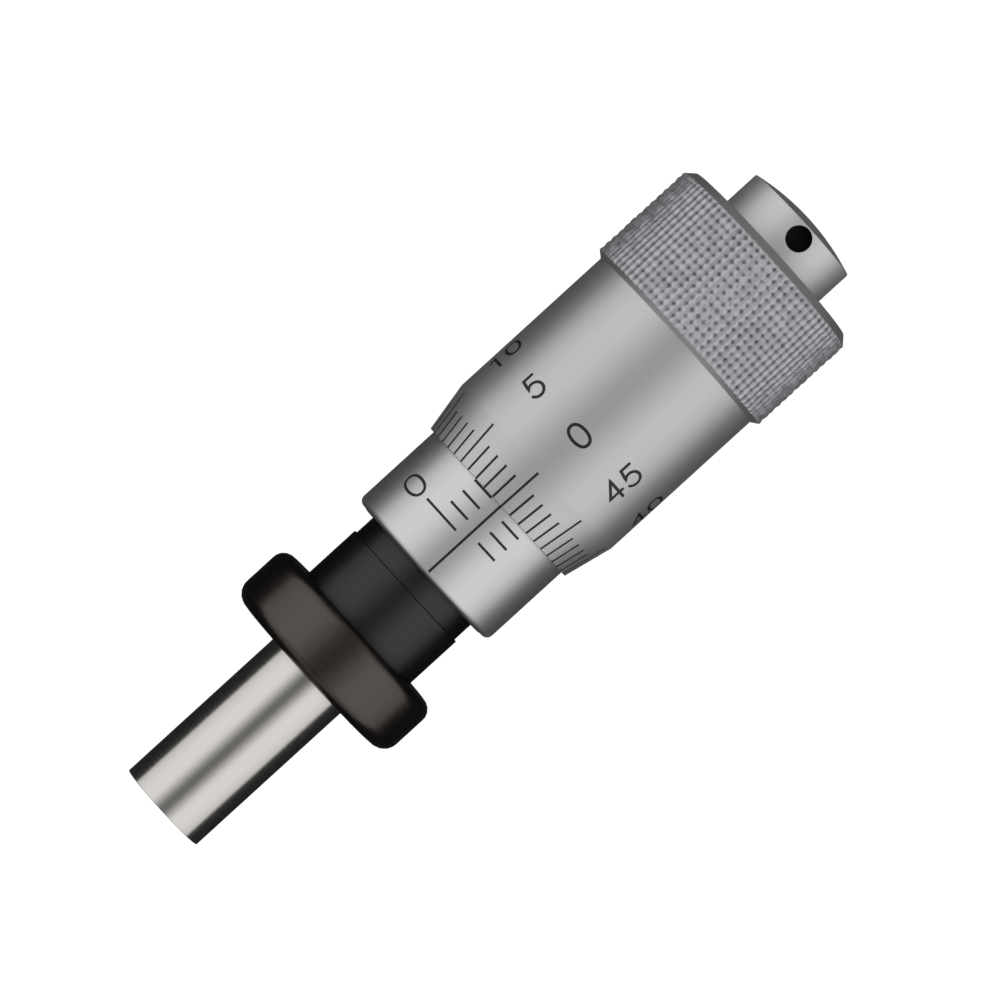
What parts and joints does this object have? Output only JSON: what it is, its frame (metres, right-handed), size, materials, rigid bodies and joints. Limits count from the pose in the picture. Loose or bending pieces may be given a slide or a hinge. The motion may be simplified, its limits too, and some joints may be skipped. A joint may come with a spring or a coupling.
{
  "type": "micrometer head",
  "caption": "Micrometer head: clamp nut and ground stem for mounting, graduated sleeve, knurled thimble and a spindle fed by a fine screw.",
  "frame": {"origin": "on the screw's axis, in the plane of the seat at the front of the sleeve", "axes": "+X along the axis from the measuring face to the thimble, +Z through the sleeve's reading line"},
  "size_m": [0.0553, 0.015, 0.015],
  "materials": {
    "stem_black": "black oxide on ground steel",
    "nut_black": "black oxide on turned steel",
    "bright_steel": "turned steel",
    "ground_steel": "hardened, ground and lapped",
    "satin_chrome": "satin chrome plate with black filled lines"
  },
  "bodies": {
    "stem": {"inner_sleeve": "stem_black", "adjusting_nut": "bright_steel"},
    "outer_sleeve": {"outer_sleeve": "satin_chrome"},
    "clamp_nut": {"clamp_nut": "nut_black"},
    "spindle": {"spindle": "ground_steel"},
    "thimble": {"thimble": "satin_chrome", "thimble_cap": "satin_chrome"}
  },
  "joints": [
    {"name": "spindle_feed", "type": "slide", "parent": "stem", "child": "spindle", "axis": [1, 0, 0], "range_m": [-0.003, 0.01]},
    {"name": "thimble_turn", "type": "hinge", "parent": "spindle", "child": "thimble", "pos_m": [0.027, 0, 0], "axis": [1, 0, 0], "range_deg": [-2160, 7200]},
    {"name": "sleeve_zero_set", "type": "hinge", "parent": "stem", "child": "outer_sleeve", "pos_m": [0.009, 0, 0], "axis": [1, 0, 0], "range_deg": [-15, 15]},
    {"name": "clamp_nut_screw", "type": "slide", "parent": "stem", "child": "clamp_nut", "axis": [-1, 0, 0], "range_m": [0, 0.02]}
  ],
  "couplings": [
    {"joint": "thimble_turn", "follows": "spindle_feed", "rad_per_m": 12566}
  ]
}
